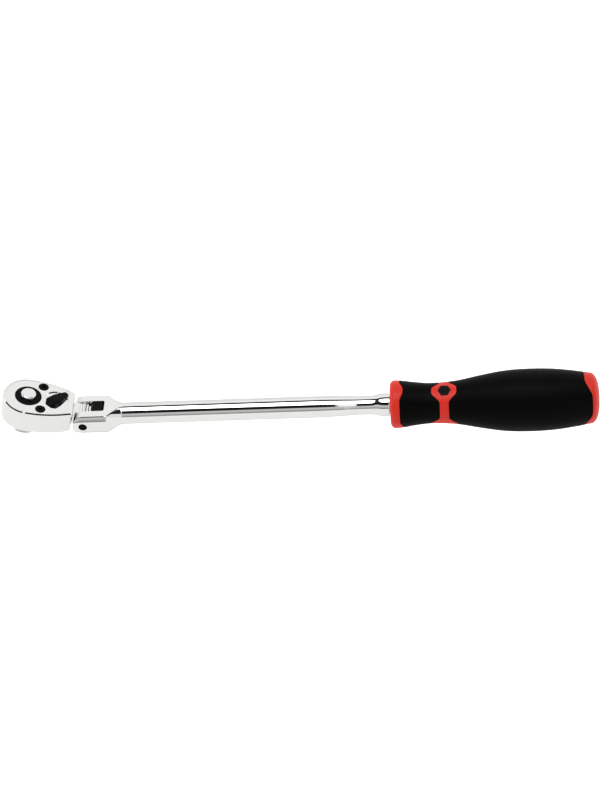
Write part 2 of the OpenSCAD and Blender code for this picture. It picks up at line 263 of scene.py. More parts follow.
def between(value, low, high, soft):
    """One between two limits and zero outside, with soft edges."""
    rise = room.ramp(value, low - soft, low + soft)
    fall = room.ramp(value, high - soft, high + soft, 1, 0)
    return rise * fall

wall_front = room.ramp(pitch, -14, 4, 0.7, 0.3) + room.ramp(pitch, 2, 26, 0, 0.3)
right_side = room.ramp(ray_x, 0.02, 0.1)
front = room.ramp(pitch, 36, 40, 1, 0)
wall_back = room.ramp(pitch, 112, 176, 1.08, 0.84)
panel = between(pitch, 67, 99.5, 1.5)
base = wall_back + front * (wall_front - wall_back)
base = base + right_side * front * (SIDE_LIGHT - base)
light = base + panel * (PANEL_LIGHT - base)
print("panel over wall:", round(PANEL_LIGHT / SIDE_LIGHT, 1))

# %% Hang the dark cards and fill the world
CARD_FRONT = 0.99
CARD_BACK = 0.98
gap = between(ray_x, 0.015, 0.15, 0.012)
dark_front = between(height, 36.5, 65, 1.5) * (1 - gap) * room.ramp(ray_y, 0.3, 0.5, 1, 0)
dark_side = room.ramp(ray_x, 0.19, 0.24) * between(pitch, 37, 90, 2)
dark_front = 1 - (1 - dark_front) * (1 - dark_side)
dark_back = between(pitch, 101, 120.5, 1) * room.ramp(height, 50, 56)
light = light * (1 - dark_front * CARD_FRONT) * (1 - dark_back * CARD_BACK)
seen_straight = room.node("ShaderNodeLightPath")
light = light + seen_straight * (1 - light)
room.node("ShaderNodeOutputWorld", sockets={
    "Surface": room.node("ShaderNodeBackground", sockets={
        "Color": (1, 1, 0.99, 1), "Strength": light})})
scene.view_settings.view_transform = "Standard"
print("room nodes:", len(world.node_tree.nodes))

# %% [markdown]
# The floor is a plain pale sheet. It lies below the lowest point that the head can reach when
# it is folded down, so that the head has room to swing. Seen from beneath it is clear, so that
# the underside can be looked at. A faint glow keeps the paper white, most of it for the eye only.

# %% Lay the floor
FOLDED_REACH = 50 * MM
FLOOR_SIZE = 6
EYE_GLOW = 0.55
ROOM_GLOW = 0.2
floor_mesh = bpy.data.meshes.new("floor")
floor = bpy.data.objects.new("floor", floor_mesh)
corners = [(-1, -1), (1, -1), (1, 1), (-1, 1)]
floor_mesh.from_pydata([(x * FLOOR_SIZE, y * FLOOR_SIZE, hinge_centre.z - FOLDED_REACH)
                        for x, y in corners], [], [(0, 1, 2, 3)])
scene.collection.objects.link(floor)
floor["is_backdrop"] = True
paper = bpy.data.materials.new("floor paper")
paper.use_nodes = True
sheet = Bench(paper.node_tree)
fibre = sheet.node("ShaderNodeTexNoise", sockets={
    "Vector": sheet.node("ShaderNodeTexCoord", take=3), "Scale": 60.0, "Detail": 3.0})
matt = sheet.node("ShaderNodeBsdfDiffuse", sockets={
    "Color": sheet.blend(fibre, (0.78, 0.78, 0.775), (0.8, 0.8, 0.795))})
lift = sheet.node("ShaderNodeLightPath") * EYE_GLOW + ROOM_GLOW
glow = sheet.node("ShaderNodeEmission", sockets={"Strength": lift})
bright = sheet.node("ShaderNodeAddShader", sockets={0: matt, 1: glow})
seen_below = sheet.node("ShaderNodeNewGeometry", take=6)
sheet.node("ShaderNodeOutputMaterial", sockets={"Surface": sheet.node("ShaderNodeMixShader", sockets={
    0: seen_below, 1: bright, 2: sheet.node("ShaderNodeBsdfTransparent")})})
floor_mesh.materials.append(paper)
print("floor height in mm:", round((hinge_centre.z - FOLDED_REACH) / MM, 1))

# %% [markdown]
# Each finish starts from the same few moves: a fine grain measured in millimetres, a tone
# that wanders a little over the surface, and a bump made of the grain.

# %% The start of every finish
class Finish(Bench):
    """A material with one main shader, and grain measured in millimetres."""

    def __init__(self, name):
        self.material = bpy.data.materials.new(name)
        self.material.use_nodes = True
        super().__init__(self.material.node_tree)
        self.place = self.node("ShaderNodeTexCoord", take=3)

    def grain(self, size, detail=2.0, stretch=(1, 1, 1)):
        """Noise from 0 to 1 whose lumps are size millimetres across."""
        place = self.node("ShaderNodeVectorMath", {"operation": "MULTIPLY"},
                          {0: self.place, 1: stretch})
        return self.node("ShaderNodeTexNoise", sockets={
            "Vector": place, "Scale": 1 / (size * MM), "Detail": detail})

    def raised(self, height, depth):
        """A bump whose highest points stand depth millimetres proud."""
        return self.node("ShaderNodeBump", sockets={
            "Strength": 1.0, "Distance": depth * MM, "Height": height})

    def shade(self, **sockets):
        """The main shader, with socket names written with underscores."""
        names = {key.replace("_", " "): value for key, value in sockets.items()}
        shader = self.node("ShaderNodeBsdfPrincipled", sockets=names)
        self.node("ShaderNodeOutputMaterial", sockets={"Surface": shader})
        return self.material

finishes = {}
print("grain, bump and shader are ready")

# %% [markdown]
# Chrome plate is bright, a little warm where it is thin, and almost a mirror. A fine lumpy
# grain in its bump and its roughness keeps it from looking like glass.

# %% Chrome and bare steel
def metal_finish(name, tone, warm, rough, spread, lump, depth):
    """A polished or ground metal whose tone and roughness wander a little."""
    finish = Finish(name)
    wander = finish.grain(9, 2.0)
    fine = finish.grain(lump, 3.0)
    finishes[name] = finish.shade(
        Base_Color=finish.blend(wander, tone, warm),
        Metallic=1.0,
        Roughness=rough + fine * spread,
        Normal=finish.raised(fine, depth))

metal_finish("chrome", (0.84, 0.84, 0.835), (0.81, 0.808, 0.795), 0.02, 0.03, 0.5, 0.0002)
metal_finish("bright_button", (0.86, 0.86, 0.86), (0.8, 0.8, 0.79), 0.16, 0.12, 0.3, 0.004)
metal_finish("steel", (0.52, 0.53, 0.54), (0.44, 0.44, 0.44), 0.22, 0.16, 0.25, 0.006)
metal_finish("spring_steel", (0.5, 0.5, 0.5), (0.38, 0.36, 0.33), 0.3, 0.15, 0.2, 0.004)
print("metals:", sorted(finishes))

# %% [markdown]
# The screws and the index block are blacked steel, the lever and the hub ring are moulded
# black plastic, the handle's hard core is glossy red plastic, and the sleeves are soft black
# rubber with a dry skin. All of them are dielectric or nearly so: the tone stays put, and
# the sheen comes from roughness.

# %% Plastics, rubber and blacked steel
def moulded_finish(name, tone, worn, rough, spread, lump, depth, metallic=0.0, sheen=0.2):
    """A moulded or blacked surface with a fine skin texture."""
    finish = Finish(name)
    wander = finish.grain(14, 2.0)
    skin = finish.grain(lump, 3.0)
    finishes[name] = finish.shade(
        Base_Color=finish.blend(wander * 0.6 + skin * 0.4, tone, worn),
        Metallic=metallic,
        Roughness=rough + skin * spread,
        Specular_IOR_Level=sheen,
        Normal=finish.raised(skin, depth))

moulded_finish("black_oxide", (0.002, 0.002, 0.002), (0.005, 0.0045, 0.004), 0.34, 0.14, 0.25,
               0.004, metallic=0.2, sheen=0.08)
moulded_finish("black_plastic", (0.001, 0.001, 0.001), (0.003, 0.003, 0.003), 0.28, 0.12, 0.3,
               0.006, sheen=0.07)
moulded_finish("red_plastic", (0.74, 0.028, 0.014), (0.68, 0.024, 0.012), 0.36, 0.1, 0.4,
               0.008, sheen=0.25)
moulded_finish("black_grip", (0.0008, 0.0008, 0.0008), (0.002, 0.002, 0.0018), 0.4, 0.14, 0.22,
               0.015, sheen=0.04)
moulded_finish("badge", (0.002, 0.002, 0.002), (0.005, 0.005, 0.005), 0.22, 0.1, 0.3,
               0.004, sheen=0.15)
moulded_finish("seal_rubber", (0.004, 0.004, 0.004), (0.008, 0.008, 0.008), 0.6, 0.15, 0.3,
               0.01, sheen=0.2)
print("finishes:", sorted(finishes))

# %% [markdown]
# Most parts are one of three kinds of solid. A loft joins a row of rings. A turned piece is a
# loft of circles, as from a lathe. A slab is a loft of one outline at several heights.

# %% Loft a row of rings
def as_piece(name, shape):
    """Turns a working mesh into an object in the scene."""
    bmesh.ops.recalc_face_normals(shape, faces=shape.faces)
    mesh = bpy.data.meshes.new(name)
    shape.to_mesh(mesh)
    shape.free()
    piece = bpy.data.objects.new(name, mesh)
    scene.collection.objects.link(piece)
    return piece

def solid(name, rings):
    """A closed mesh through rings of points, in the millimetres of a working frame."""
    shape = bmesh.new()
    rows = [[shape.verts.new(point) for point in ring] for ring in rings]
    count = len(rows[0])
    for near, far in zip(rows, rows[1:]):
        for i in range(count):
            n = (i + 1) % count
            shape.faces.new((near[i], near[n], far[n], far[i]))
    shape.faces.new(rows[0][::-1])
    shape.faces.new(rows[-1])
    bmesh.ops.remove_doubles(shape, verts=shape.verts, dist=1e-5)
    bmesh.ops.dissolve_degenerate(shape, edges=shape.edges, dist=1e-6)
    return as_piece(name, shape)

print("solid() joins rings into a closed mesh")

# %% Turned pieces and slabs
def turned(name, profile, axis="Z", steps=96, centre=(0, 0, 0)):
    """A lathe piece from (place along the axis, radius) stations."""
    rings = []
    for along, radius in profile:
        ring = []
        for i in range(steps):
            a = 2 * math.pi * i / steps
            c, s = radius * math.cos(a), radius * math.sin(a)
            point = {"Z": (c, s, along), "X": (along, c, s), "Y": (s, along, c)}[axis]
            ring.append(Vector(point) + Vector(centre))
        rings.append(ring)
    return solid(name, rings)

def slab(name, outline, low, high):
    """An outline pulled straight between two heights."""
    return solid(name, [[(x, y, z) for x, y in outline] for z in (low, high)])

def rod(name, radius, low, high, axis="Z", steps=96, centre=(0, 0, 0)):
    """A plain round bar, used as a cutter."""
    return turned(name, [(low, radius), (high, radius)], axis, steps, centre)

print("turned(), slab() and rod() are built on solid()")

# %% [markdown]
# Booleans then cut and join these solids, much as a mill and a welder would. After the cuts, a
# narrow bevel on every sharp edge catches the light the way a tumbled and plated edge does.

# %% Cut, join and soften
def settle(piece):
    """Applies the modifiers of a piece to its mesh."""
    fine = piece.evaluated_get(bpy.context.evaluated_depsgraph_get())
    mesh = bpy.data.meshes.new_from_object(fine)
    piece.modifiers.clear()
    old = piece.data
    piece.data = mesh
    bpy.data.meshes.remove(old)

def combine(piece, tools, operation):
    """Joins or cuts a piece with other solids, which are used up."""
    for tool in tools:
        change = piece.modifiers.new("tool", "BOOLEAN")
        change.operation = operation
        change.solver = "EXACT"
        change.object = tool
        settle(piece)
        bpy.data.objects.remove(tool)

def cut(piece, *tools):
    combine(piece, tools, "DIFFERENCE")

def weld(piece, *tools):
    combine(piece, tools, "UNION")

print("cut() and weld() use up their tools")

# %% Soften the edges and hand the piece over
def soften(piece, width, rings=2, limit=40):
    """A narrow bevel on edges sharper than limit degrees."""
    bevel = piece.modifiers.new("edge", "BEVEL")
    bevel.width = width
    bevel.segments = rings
    bevel.limit_method = "ANGLE"
    bevel.angle_limit = math.radians(limit)
    bevel.use_clamp_overlap = True
    bevel.miter_outer = "MITER_ARC"
    settle(piece)

def hand_over(piece, place, node, finish, sharp=32, flat_faces=True):
    """Smooths the faces, moves the mesh to its place and tells the frame what it is."""
    piece.data.shade_smooth()
    piece.data.set_sharp_from_angle(angle=math.radians(sharp))
    if flat_faces:
        even = piece.modifiers.new("even", "WEIGHTED_NORMAL")
        even.keep_sharp = True
        settle(piece)
    piece.data.transform(place)
    piece.data.materials.clear()
    piece.data.materials.append(finishes[finish])
    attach(piece, BODY_OF[node])
    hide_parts(node)
    print(piece.name, "faces:", len(piece.data.polygons))

BODY_OF = {node: body for body, nodes in frame["record"]["behaviour"]["bodies"].items()
           for node in nodes}
print("nodes with a body:", len(BODY_OF))

# %% [markdown]
# The head is a teardrop: round over the gear, and drawn in towards the tang. One curve gives
# its half width at any distance from the drive axis. Insetting that curve along its own
# normal gives the rim's bevel and the seat of the cover plate an even width.

# %% The outline of the head
HEAD_R = 14.1
TANG_HALF = 4.05
HEAD_DRAW = 5.4
HEAD_END = HINGE_REACH - 6.6
NECK_HALF = 4.4
CORNER_R = 1.5

def half_width(u):
    """Half the head's width at a distance from the drive axis."""
    t = u / HEAD_END
    return HEAD_R - HEAD_DRAW * 1.2 * t ** 3 / (t + 0.2)

def slope_at(u):
    return (half_width(u + 0.01) - half_width(u - 0.01)) / 0.02

def bowed(start, corner, finish, steps):
    """Points of a simple curve that leaves start and reaches finish, drawn to the corner."""
    return [start * (1 - t) ** 2 + corner * 2 * t * (1 - t) + finish * t * t
            for t in [i / steps for i in range(steps + 1)]]

def head_outline(inset, end, steps=48, turn=96):
    """The teardrop outline, inset along its normal, with rounded rear corners."""
    side = []
    for i in range(1, steps + 1):
        u = (end - CORNER_R) * i / steps
        normal = Vector((-slope_at(u), 1)).normalized()
        side.append(Vector((u, half_width(u))) - normal * inset)
    start = side[-1]
    corner = Vector((end, start.y + slope_at(start.x) * (end - start.x)))
    side += bowed(start, corner, corner - Vector((0, CORNER_R)), 12)[1:]
    arc = []
    for i in range(turn + 1):
        a = math.pi * (0.5 + i / turn)
        arc.append(Vector((math.cos(a), math.sin(a))) * (HEAD_R - inset))
    mirror = [Vector((p.x, -p.y)) for p in side]
    return [tuple(p) for p in side[::-1] + arc + mirror]

print("outline points:", len(head_outline(0, HEAD_END)))

# %% [markdown]
# The forged head body is lofted from that outline. Its rim has a flat bevel, its lower edge a
# smaller one, and its end slopes down to the tang's thickness. The tang and its index teeth
# are welded on, and then the plate's seat, the works pocket and the bores are cut out.

# %% Loft the head body
SLOPE_START = HEAD_END - 3.2
END_HALF = 6.2
RIM_BEVEL = 0.62

def end_slope(u):
    """Share of the full thickness left at a distance from the drive axis."""
    t = min(max((u - SLOPE_START) / (HEAD_END - SLOPE_START), 0), 1)
    return 1 - (1 - END_HALF / HEAD_HALF) * (1 - math.sqrt(1 - 0.96 * t * t))

def head_ring(inset, z):
    return [(x, y, z * end_slope(x)) for x, y in head_outline(inset, HEAD_END - inset)]

head = solid("ratchet_head", [head_ring(0.6, -HEAD_HALF), head_ring(0.18, 0.22 - HEAD_HALF),
                              head_ring(0, 0.65 - HEAD_HALF), head_ring(0, HEAD_HALF - RIM_BEVEL),
                              head_ring(RIM_BEVEL, HEAD_HALF)])
print("head blank faces:", len(head.data.polygons))

# %% Weld the tang and its index teeth
INDEX_TEETH = 24
INDEX_R = 6.0
INDEX_DEPTH = 0.55

def toothed(teeth, tip, root, centre=(0, 0)):
    """A toothed outline with a tooth on the first axis."""
    points = []
    for i in range(2 * teeth):
        r = root if i % 2 else tip
        a = math.pi * i / teeth
        points.append((centre[0] + r * math.cos(a), centre[1] + r * math.sin(a)))
    return points

def cross_slab(name, outline, half):
    """A slab that runs along the hinge's axis."""
    return solid(name, [[(x, y, z) for x, z in outline] for y in (-half, half)])

TANG_AT = (HINGE_REACH, -TANG_DROP)
neck = [(x, z - TANG_DROP) for x, z in ((HEAD_END - 2, -NECK_HALF), (HINGE_REACH, -NECK_HALF),
                                        (HINGE_REACH, NECK_HALF), (HEAD_END - 2, NECK_HALF))]
weld(head, cross_slab("neck", neck, TANG_HALF),
     cross_slab("index", toothed(INDEX_TEETH, INDEX_R, INDEX_R - INDEX_DEPTH, TANG_AT), TANG_HALF))
print("head with tang faces:", len(head.data.polygons))

# %% Cut the head's pockets and bores
PLATE_Z = 4.5
FLOOR_Z = -4.3
SELECTOR_U = 15.7
SCREWS = [(7.75, 9.06), (7.75, -9.06)]
RIM_W = 1.5
SEAT_END = 22.5
PAWL_ROOM_R = 11.95
PAWL_ROOM_SPREAD = 42.5

sector = [(0, 0)]
for i in range(-8, 9):
    a = math.radians(PAWL_ROOM_SPREAD * i / 8)
    sector.append((PAWL_ROOM_R * math.cos(a), PAWL_ROOM_R * math.sin(a)))
cut(head, slab("seat", head_outline(RIM_W, SEAT_END), PLATE_Z, 9),
    rod("gear_room", 9.8, FLOOR_Z, PLATE_Z + 1),
    slab("pawl_room", sector, FLOOR_Z, PLATE_Z + 1),
    rod("pawl_hub_room", 5.25, FLOOR_Z, PLATE_Z + 1, centre=(SELECTOR_U, 0, 0)),
    rod("journal", 7.06, -9, 0),
    rod("seal_groove", 8.3, FLOOR_Z - 1.1, 0),
    rod("selector_bore", 2.66, FLOOR_Z - 1, 0, centre=(SELECTOR_U, 0, 0)),
    rod("hinge_bore", 2.46, -9, 9, axis="Y", centre=(HINGE_REACH, 0, -TANG_DROP)))
for x, y in SCREWS:
    cut(head, rod("screw_bore", 1.2, -1.5, 9, steps=32, centre=(x, y, 0)))
soften(head, 0.06, limit=38)
hand_over(head, HEAD, "head_body", "chrome")

# %% [markdown]
# The cover plate drops into the seat and closes the works. The big hole clears the hub, and
# the shallow round pocket is swept by the lever.

# %% Cover plate
PLATE_TOP = HEAD_HALF - 0.1
POCKET_R = 6.9
PLATE_GAP = 0.05
plate = slab("top_plate", head_outline(RIM_W + PLATE_GAP, SEAT_END - PLATE_GAP), PLATE_Z, PLATE_TOP)
cut(plate, rod("hub_hole", 7.56, 0, 9),
    rod("stem_hole", 2.7, 0, 9, centre=(SELECTOR_U, 0, 0)),
    rod("seal_room", 3.9, PLATE_Z + 0.8, 9, centre=(SELECTOR_U, 0, 0)),
    rod("lever_pocket", POCKET_R, PLATE_TOP - 0.6, 9, centre=(SELECTOR_U, 0, 0)))
for x, y in SCREWS:
    cut(plate, rod("screw_hole", 1.2, 0, 9, steps=32, centre=(x, y, 0)),
        rod("screw_sink", 2.95, PLATE_TOP - 1.2, 9, centre=(x, y, 0)))
soften(plate, 0.05, limit=38)
hand_over(plate, HEAD, "cover_plate", "chrome")

# %% [markdown]
# Two blacked screws with low domed heads and a six-sided socket hold the plate.

# %% Cover screws
SCREW_R = 1.2
SCREW_HEAD_R = 2.88
HEAD_SINK = 1.2

def hexagon(radius, centre=(0, 0)):
    """Six corners round a centre, the first on the X axis."""
    x, y = centre
    return [(x + radius * math.cos(math.pi * i / 3), y + radius * math.sin(math.pi * i / 3))
            for i in range(6)]

thread = [(-1.5, 1.0), (-1.3, SCREW_R), (PLATE_TOP - HEAD_SINK, SCREW_R),
          (PLATE_TOP - HEAD_SINK, SCREW_HEAD_R)]
dome = [(PLATE_TOP - 0.25, SCREW_HEAD_R), (PLATE_TOP - 0.1, 2.82), (PLATE_TOP - 0.02, 2.65),
        (PLATE_TOP + 0.05, 2.2), (PLATE_TOP + 0.08, 1.5)]
screws = []
for x, y in SCREWS:
    screw = turned("plate_screw", thread + dome, centre=(x, y, 0), steps=64)
    cut(screw, slab("socket", hexagon(1.25, (x, y)), PLATE_TOP - 0.7, 9))
    screws.append(screw)
weld(screws[0], screws[1])
soften(screws[0], 0.05, limit=45)
screws[0].name = "plate_screws"
hand_over(screws[0], HEAD, "cover_screws", "black_oxide")

# %% [markdown]
# The hub ring and the release button are turned. The ring falls away to its outer edge, and
# the button has a rounded shoulder and a barely hollowed face for the thumb.

# %% Hub ring and release button
BUTTON_R = 4.25
BUTTON_TOP = HEAD_HALF + 2.2
ring_profile = [(5.4, 7.5), (HEAD_HALF - 0.05, 7.5), (HEAD_HALF + 0.12, 7.38),
                (HEAD_HALF + 0.2, 7.1), (HEAD_HALF + 0.26, 5.2), (HEAD_HALF + 0.2, 4.6),
                (HEAD_HALF, 4.36)]
ring = turned("button_ring", ring_profile, steps=128)
cut(ring, rod("button_way", BUTTON_R + 0.1, 0, 12, steps=128))
hand_over(ring, HEAD, "hub_ring", "black_plastic")

SQUARE_LEN = 10.6
BALL_Z = -HEAD_HALF - SQUARE_LEN * 0.58
STEM_R = 2.1
WAIST_R = 1.26
SHOULDER_R = 0.7
stem = [(BALL_Z - 0.9, STEM_R), (BALL_Z - 0.2, STEM_R), (BALL_Z + 2.2, WAIST_R),
        (BALL_Z + 3.8, WAIST_R), (BALL_Z + 4.6, STEM_R), (3.8, STEM_R), (3.8, 5.0), (5.3, 5.0),
        (5.3, BUTTON_R), (BUTTON_TOP - SHOULDER_R, BUTTON_R)]
shoulder = []
for degrees in range(15, 91, 15):
    a = math.radians(degrees)
    shoulder.append((BUTTON_TOP - SHOULDER_R + SHOULDER_R * math.sin(a),
                     BUTTON_R - SHOULDER_R + SHOULDER_R * math.cos(a)))
face = [(BUTTON_TOP - 0.05, 3.0), (BUTTON_TOP - 0.12, 1.2)]
button = turned("thumb_button", stem + shoulder + face, steps=128)
hand_over(button, HEAD, "release_button", "bright_button")

# %% [markdown]
# The reversing lever is a black wedge: a wide tail for the thumb and a narrow finger that
# points at the side in use. Its top is crowned along the middle, and below the plate's face
# it is trimmed round, so that it can swing in its pocket.

# %% Reversing lever
FINGER_ANGLE = math.radians(47)
SELECTOR = HEAD @ Matrix.Translation((SELECTOR_U, 0, 0)) @ Matrix.Rotation(FINGER_ANGLE, 4, "Z")
LEVER = [(-6, 0), (-5.7, 2), (-5.1, 2.9), (-4.2, 3.4), (-2.8, 3.4), (0.8, 3.3), (4.2, 2.5),
         (8.1, 1.4), (8.4, 0)]
LEVER = LEVER + [(x, -y) for x, y in LEVER[-2:0:-1]]
LEVER_LOW = PLATE_TOP - 0.5
LEVER_OVER = HEAD_HALF + 0.1

def lever_ring(scale, z, lift):
    """The lever's outline drawn in a little, its top sloping down to the finger."""
    return [((x + 0.3) * scale - 0.3, y * scale, z - lift * max(x, 0) / 8) for x, y in LEVER]

crown = [(1, 0, 0), (1, 1.0, 0.3), (0.94, 1.35, 0.45), (0.8, 1.6, 0.6), (0.35, 1.7, 0.6)]
lever = solid("reversing_lever", [lever_ring(scale, LEVER_OVER + up, lift)
                                  for scale, up, lift in crown])
foot = slab("foot", LEVER, LEVER_LOW, LEVER_OVER + 0.2)
combine(foot, [rod("round", 6.3, LEVER_LOW - 1, LEVER_OVER + 1)], "INTERSECT")
weld(lever, foot, rod("stem", 2.6, FLOOR_Z - 0.8, LEVER_LOW + 0.1))
cut(lever, rod("plunger_hole", 1.16, -2.7, 1.9, axis="X", steps=32, centre=(0, 0, 0.1)))
soften(lever, 0.12, limit=38)
hand_over(lever, SELECTOR, "selector_lever", "black_plastic")

# %% [markdown]
# The yoke and the shaft are one forging. Each cross-section is the smaller of two shapes: the
# yoke's chamfered block, and a circle whose radius shrinks in a smooth curve until only the
# round shaft is left. Taking the smaller of the two softly gives the rounded shoulders of a
# polished forging.

# %% Cross-section of the yoke
YOKE_HALF_W = 10.5
YOKE_HALF_T = 6.3
CHAMFER_LOW = 3.1
CHAMFER_IN = 1.9
EAR_CENTRE = 0.4

def half_thickness(x):
    """Half the yoke's thickness, rounded off at the tips of the ears."""
    if x >= EAR_CENTRE:
        return YOKE_HALF_T
    return math.sqrt(max(YOKE_HALF_T ** 2 - (x - EAR_CENTRE) ** 2, 1e-6))

def yoke_quarter(x):
    """A quarter of the section: cheek, slightly bowed chamfer, and flat."""
    half = half_thickness(x)
    low = min(CHAMFER_LOW, half)
    share = max(min((half - CHAMFER_LOW) / (YOKE_HALF_T - CHAMFER_LOW), 1), 0)
    edge = Vector((YOKE_HALF_W, low))
    top = Vector((YOKE_HALF_W - CHAMFER_IN * share, half))
    bow = Vector((top.x + 0.609 * (edge.x - top.x), top.y + 0.362 * (edge.y - top.y)))
    cheek = [edge * (i / 4) + Vector((YOKE_HALF_W, 0)) * (1 - i / 4) for i in range(4)]
    flat = [top.lerp(Vector((0, half)), i / 14) for i in range(1, 14)]
    return cheek + bowed(edge, bow, top, 10) + flat

def yoke_section(x):
    """The whole section, as four mirrored quarters."""
    first = yoke_quarter(x)
    middle = [Vector((0, half_thickness(x)))]
    half_turn = first + middle + [Vector((-p.x, p.y)) for p in first[::-1]][:-1]
    return half_turn + [Vector((-p.x, -p.y)) for p in half_turn]

print("points in a yoke section:", len(yoke_section(5)))

# %% The shaft's radius along its length
SHAFT_R = 6.2
TRIM_START = 11.9
TRIM_FALL = 1.7
WHOLE_BLOCK = 14.0
SHOULDER_X = 12.8
TAPER_END = 22.5
SHAFT_END = 173.0
SHAFT_STATIONS = [(128, 6.2), (136, 6.12), (142, 5.98), (147, 5.8), (151, 5.6), (155, 5.44),
                  (159, 5.4), (162, 5.42), (164.5, 5.65), (166.4, 6.1), (168, 6.45), (170, 6.65),
                  (173, 6.7)]

def smooth_step_between(near, far, rise_near, rise_far, x):
    """A cubic from one station to the next, with a given slope at each."""
    (a, p), (b, q) = near, far
    run = b - a
    t = (x - a) / run
    m, n = rise_near * run, rise_far * run
    return ((2 * t ** 3 - 3 * t ** 2 + 1) * p + (t ** 3 - 2 * t ** 2 + t) * m
            + (3 * t ** 2 - 2 * t ** 3) * q + (t ** 3 - t ** 2) * n)

def smooth_between(stations, x):
    """A smooth curve through stations, flat beyond the first and the last."""
    if x <= stations[0][0]:
        return stations[0][1]
    if x >= stations[-1][0]:
        return stations[-1][1]
    i = max(k for k, s in enumerate(stations) if s[0] <= x)

    def slope(k):
        if k in (0, len(stations) - 1):
            return 0
        (a, p), (b, q) = stations[k - 1], stations[k + 1]
        return (q - p) / (b - a)

    return smooth_step_between(stations[i], stations[i + 1], slope(i), slope(i + 1), x)

def trim_radius(x):
    """Radius of the circle that trims the section."""
    if x < SHOULDER_X:
        return WHOLE_BLOCK
    if x < TAPER_END:
        t = (x - SHOULDER_X) / (TAPER_END - SHOULDER_X)
        return SHAFT_R + (TRIM_START - SHAFT_R) * (1 - t) ** TRIM_FALL
    return smooth_between(SHAFT_STATIONS, x)

def softly_smaller(a, b, soft):
    """The smaller of two lengths, with the corner between them rounded."""
    gap = max(soft - abs(a - b), 0) / soft
    return min(a, b) - gap * gap * soft / 4

print("shaft radius at the neck:", round(trim_radius(156), 2))

# %% Loft the yoke and the shaft
def reach_of(outline, a):
    """Distance from the centre of a closed outline to its edge in direction a."""
    ray = Vector((math.cos(a), math.sin(a)))
    for near, far in zip(outline, outline[1:] + outline[:1]):
        side_near, side_far = ray.cross(near), ray.cross(far)
        if side_near <= 0 <= side_far and near.dot(ray) + far.dot(ray) > 0:
            share = side_near / (side_near - side_far) if side_near != side_far else 0
            return near.lerp(far, share).dot(ray)
    return outline[0].length

block_outline = yoke_section(SHOULDER_X)
block_angles = [math.atan2(p.y, p.x) % (2 * math.pi) for p in block_outline]
even_angles = [2 * math.pi * i / len(block_outline) for i in range(len(block_outline))]

def shaft_ring(x):
    """One cross-section, from the yoke's block to the round shaft."""
    if x < SHOULDER_X - 0.5:
        return [(x, p.x, p.y) for p in yoke_section(x)]
    limit = trim_radius(x)
    share = min((x - SHOULDER_X + 0.5) / (TAPER_END - SHOULDER_X), 1)
    ring = []
    for block, even in zip(block_angles, even_angles):
        a = block + (even - block) * share
        r = limit
        if x < TAPER_END:
            r = softly_smaller(reach_of(block_outline, a), limit, 0.35)
        ring.append((x, r * math.cos(a), r * math.sin(a)))
    return ring

nose = [EAR_CENTRE - YOKE_HALF_T * math.cos(math.radians(a)) for a in range(0, 90, 5)]
blend_run = [SHOULDER_X - 0.5 + (TAPER_END + 1 - SHOULDER_X) * i / 60 for i in range(61)]
straight = [TAPER_END + 4, 40, 60, 80, 100, 115]
lower_run = [124 + (SHAFT_END - 124) * i / 110 for i in range(111)]
stations = nose + [EAR_CENTRE, 4, 8] + blend_run + straight + lower_run
shaft = solid("yoke_and_shaft", [shaft_ring(x) for x in stations])
print("forging faces:", len(shaft.data.polygons))

# %% Cut the yoke's slot and bores
SLOT_HALF = 4.15
PIN_R = 2.4
SLOT_END = 12.1
SLOT_CORNER = 1.3

def round_ended(start, end, half, corner):
    """A rectangle whose two corners at the far end are rounded."""
    rear = bowed(Vector((end - corner, -half)), Vector((end, -half)), Vector((end, corner - half)), 8)
    side = [(start, -half)] + [tuple(p) for p in rear]
    return side + [(x, -y) for x, y in side[::-1]]

cut(shaft, slab("slot", round_ended(-9, SLOT_END, SLOT_HALF, SLOT_CORNER), -9, 9),
    rod("pin_bore", PIN_R, -12, 12, axis="Y"),
    rod("lock_bore", 2.36, 11, 28, axis="X", steps=48))
weld(shaft, rod("tang_in_handle", 5, SHAFT_END - 1, SHAFT_END + 90, axis="X", steps=64))
soften(shaft, 0.14, rings=3, limit=42)
hand_over(shaft, HINGE, "yoke_shaft", "chrome", sharp=35, flat_faces=False)

# %% [markdown]
# The flex pin is pressed in just below the cheeks. The index block behind the tang is a
# blacked slider with rounded corners and teeth on its front. Its edges are softened before its
# tail is joined, so that no fillet is left at the tail's root to foul the slot.

# %% Flex pin and index block
PIN_HALF = 9.6
pin_profile = [(-PIN_HALF, 1.9), (0.4 - PIN_HALF, PIN_R), (PIN_HALF - 0.4, PIN_R), (PIN_HALF, 1.9)]
pin = turned("flex_pin", pin_profile, axis="Y", steps=64)
hand_over(pin, HINGE, "hinge_pin", "black_oxide")

LOCK_X = (5.3, 11.0)
LOCK_HALF_Z = 5.8
LOCK_HALF_Y = SLOT_HALF - 0.1
LOCK_CORNER = 1.2
MESH_GAP = 0.08
TAIL_END = 19
block = slab("index_block", round_ended(*LOCK_X, LOCK_HALF_Y, LOCK_CORNER), -LOCK_HALF_Z, LOCK_HALF_Z)
cut(block, cross_slab("index_cut", toothed(INDEX_TEETH, INDEX_R + MESH_GAP,
                                           INDEX_R + MESH_GAP - INDEX_DEPTH), 6))
soften(block, 0.25, limit=60)
weld(block, rod("tail", 2.3, LOCK_X[1] - 0.5, TAIL_END, axis="X", steps=48))
hand_over(block, HINGE, "flex_lock", "black_oxide")

# %% [markdown]
# The handle swells for the palm and narrows at the waist. A smooth curve through a few
# stations gives its radius. Its red core shows at the collar, the waist band and the end cap,
# and the edges of the black sleeves run in waves round it, with lobes where the red widens:
# three at the collar and the waist, and two at the end cap.

